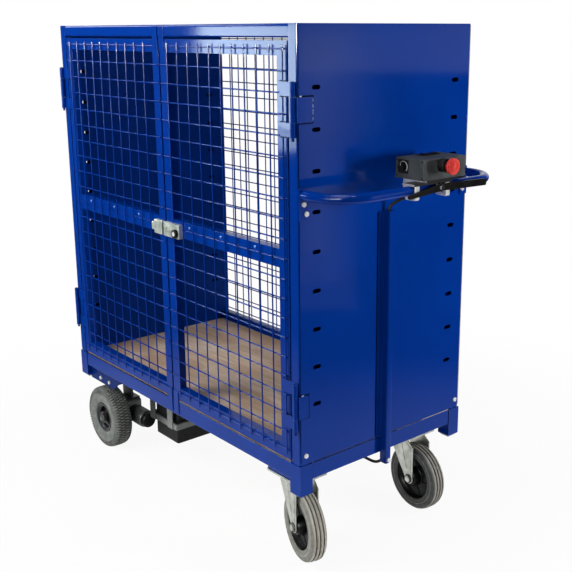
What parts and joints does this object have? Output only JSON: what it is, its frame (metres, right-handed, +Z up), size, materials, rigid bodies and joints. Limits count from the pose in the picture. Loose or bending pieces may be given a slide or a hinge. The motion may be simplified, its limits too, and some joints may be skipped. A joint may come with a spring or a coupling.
{
  "type": "lockable cage trolley",
  "caption": "Powered cage trolley with lockable mesh doors, slotted sheet end panels, plywood deck, swivel castors, driven wheels and a push handle with controls.",
  "frame": {"origin": "centre of the bounding box, on the floor", "axes": "+X towards the push handle end, +Y towards the closed mesh back (the doors face -Y), +Z up"},
  "size_m": [1.407, 0.6358, 1.43],
  "materials": {
    "blue_paint": "gloss royal blue powder coat",
    "zinc_plate": "bright zinc plate",
    "chrome_plate": "polished",
    "plywood": "birch plywood",
    "black_plastic": "fine grain",
    "grey_plastic": "matt",
    "red_plastic": "gloss red",
    "black_rubber": "matt sheath",
    "grey_tyre": "non-marking grey rubber",
    "grey_paint": "grey paint",
    "black_paint": "satin black",
    "cast_aluminium": "as cast"
  },
  "bodies": {
    "trolley_frame": {"base_rails": "blue_paint", "deck_board": "plywood", "end_liners": "blue_paint", "roof_panel": "blue_paint", "cage_rails": "blue_paint", "rear_mesh": "blue_paint", "hinge_body_leaves": "blue_paint", "hinge_pins": "zinc_plate", "push_handle": "blue_paint", "corner_feet": "blue_paint", "handle_end_panel": "blue_paint", "drive_end_panel": "blue_paint", "control_bracket": "zinc_plate", "tube_clamps": "zinc_plate", "control_box_base": "black_plastic", "control_box": "black_plastic", "e_stop_collar": "black_plastic", "cable_channel": "blue_paint", "control_cable": "black_rubber", "cable_glands": "black_plastic", "drive_brackets": "blue_paint", "drive_beam": "grey_paint", "gearbox_housings": "cast_aluminium", "drive_motors": "black_paint", "motor_brake_covers": "black_plastic", "battery_cradle": "grey_paint", "battery_case": "black_plastic", "battery_lid": "black_plastic", "batteries": "grey_plastic", "drive_controller": "black_plastic", "castor_plates": "zinc_plate", "cross_bearers": "blue_paint", "bolts": "zinc_plate"},
    "left_door": {"left_door_frame": "blue_paint", "left_door_mesh": "blue_paint", "left_door_hinge_straps": "blue_paint", "latch_keeper": "zinc_plate"},
    "right_door": {"right_door_frame": "blue_paint", "right_door_mesh": "blue_paint", "right_door_hinge_straps": "blue_paint", "latch_case": "zinc_plate", "lock_body": "black_plastic"},
    "latch_bolt": {"latch_bolt": "zinc_plate"},
    "lock_cylinder": {"lock_cylinder": "chrome_plate"},
    "front_castor": {"front_castor_fork": "zinc_plate", "front_castor_axle": "zinc_plate"},
    "front_castor_wheel": {"front_castor_wheel_centre": "black_plastic", "front_castor_tyre": "grey_tyre"},
    "rear_castor": {"rear_castor_fork": "zinc_plate", "rear_castor_axle": "zinc_plate"},
    "rear_castor_wheel": {"rear_castor_wheel_centre": "black_plastic", "rear_castor_tyre": "grey_tyre"},
    "front_drive_wheel": {"front_drive_rim": "black_paint", "front_drive_tyre": "grey_tyre"},
    "rear_drive_wheel": {"rear_drive_rim": "black_paint", "rear_drive_tyre": "grey_tyre"},
    "e_stop_button": {"e_stop_button": "red_plastic"},
    "speed_dial": {"speed_dial": "black_plastic"},
    "power_switch": {"power_switch": "black_plastic"},
    "throttle_lever": {"throttle_lever": "black_plastic"}
  },
  "joints": [
    {"name": "left_door_hinge", "type": "hinge", "parent": "trolley_frame", "child": "left_door", "pos_m": [-0.691, -0.3031, 0.839], "axis": [0, 0, -1], "range_deg": [0, 240]},
    {"name": "right_door_hinge", "type": "hinge", "parent": "trolley_frame", "child": "right_door", "pos_m": [0.503, -0.3031, 0.839], "axis": [0, 0, 1], "range_deg": [0, 180]},
    {"name": "latch_bolt_slide", "type": "slide", "parent": "right_door", "child": "latch_bolt", "axis": [-1, 0, 0], "range_m": [0, 0.016]},
    {"name": "lock_turn", "type": "hinge", "parent": "right_door", "child": "lock_cylinder", "pos_m": [-0.023, -0.3171, 0.852], "axis": [0, -1, 0], "range_deg": [0, 90]},
    {"name": "front_castor_swivel", "type": "hinge", "parent": "trolley_frame", "child": "front_castor", "pos_m": [0.388, -0.2061, 0.235], "axis": [0, 0, 1], "continuous": true},
    {"name": "front_castor_wheel_spin", "type": "hinge", "parent": "front_castor", "child": "front_castor_wheel", "pos_m": [0.4363, -0.21904, 0.1], "axis": [0.2588, 0.9659, 0], "continuous": true},
    {"name": "rear_castor_swivel", "type": "hinge", "parent": "trolley_frame", "child": "rear_castor", "pos_m": [0.388, 0.2259, 0.235], "axis": [0, 0, 1], "continuous": true},
    {"name": "rear_castor_wheel_spin", "type": "hinge", "parent": "rear_castor", "child": "rear_castor_wheel", "pos_m": [0.43792, 0.22302, 0.1], "axis": [0.0576, 0.9983, 0], "continuous": true},
    {"name": "front_drive_wheel_spin", "type": "hinge", "parent": "trolley_frame", "child": "front_drive_wheel", "pos_m": [-0.568, -0.2671, 0.1075], "axis": [0, 1, 0], "continuous": true},
    {"name": "rear_drive_wheel_spin", "type": "hinge", "parent": "trolley_frame", "child": "rear_drive_wheel", "pos_m": [-0.568, 0.2869, 0.1075], "axis": [0, 1, 0], "continuous": true},
    {"name": "e_stop_press", "type": "slide", "parent": "trolley_frame", "child": "e_stop_button", "axis": [-1, 0, 0], "range_m": [0, 0.005], "stiffness_N_per_m": 900},
    {"name": "speed_dial_turn", "type": "hinge", "parent": "trolley_frame", "child": "speed_dial", "pos_m": [0.586, -0.0156, 1.082], "axis": [0, -1, 0], "range_deg": [-135, 135]},
    {"name": "power_switch_rock", "type": "hinge", "parent": "trolley_frame", "child": "power_switch", "pos_m": [0.589, 0.0729, 1.099], "axis": [1, 0, 0], "range_deg": [-6, 6]},
    {"name": "throttle_rock", "type": "hinge", "parent": "trolley_frame", "child": "throttle_lever", "pos_m": [0.6606, 0.0409, 1.033], "axis": [1, 0, 0], "range_deg": [-12, 12], "stiffness_Nm_per_rad": 0.8}
  ]
}
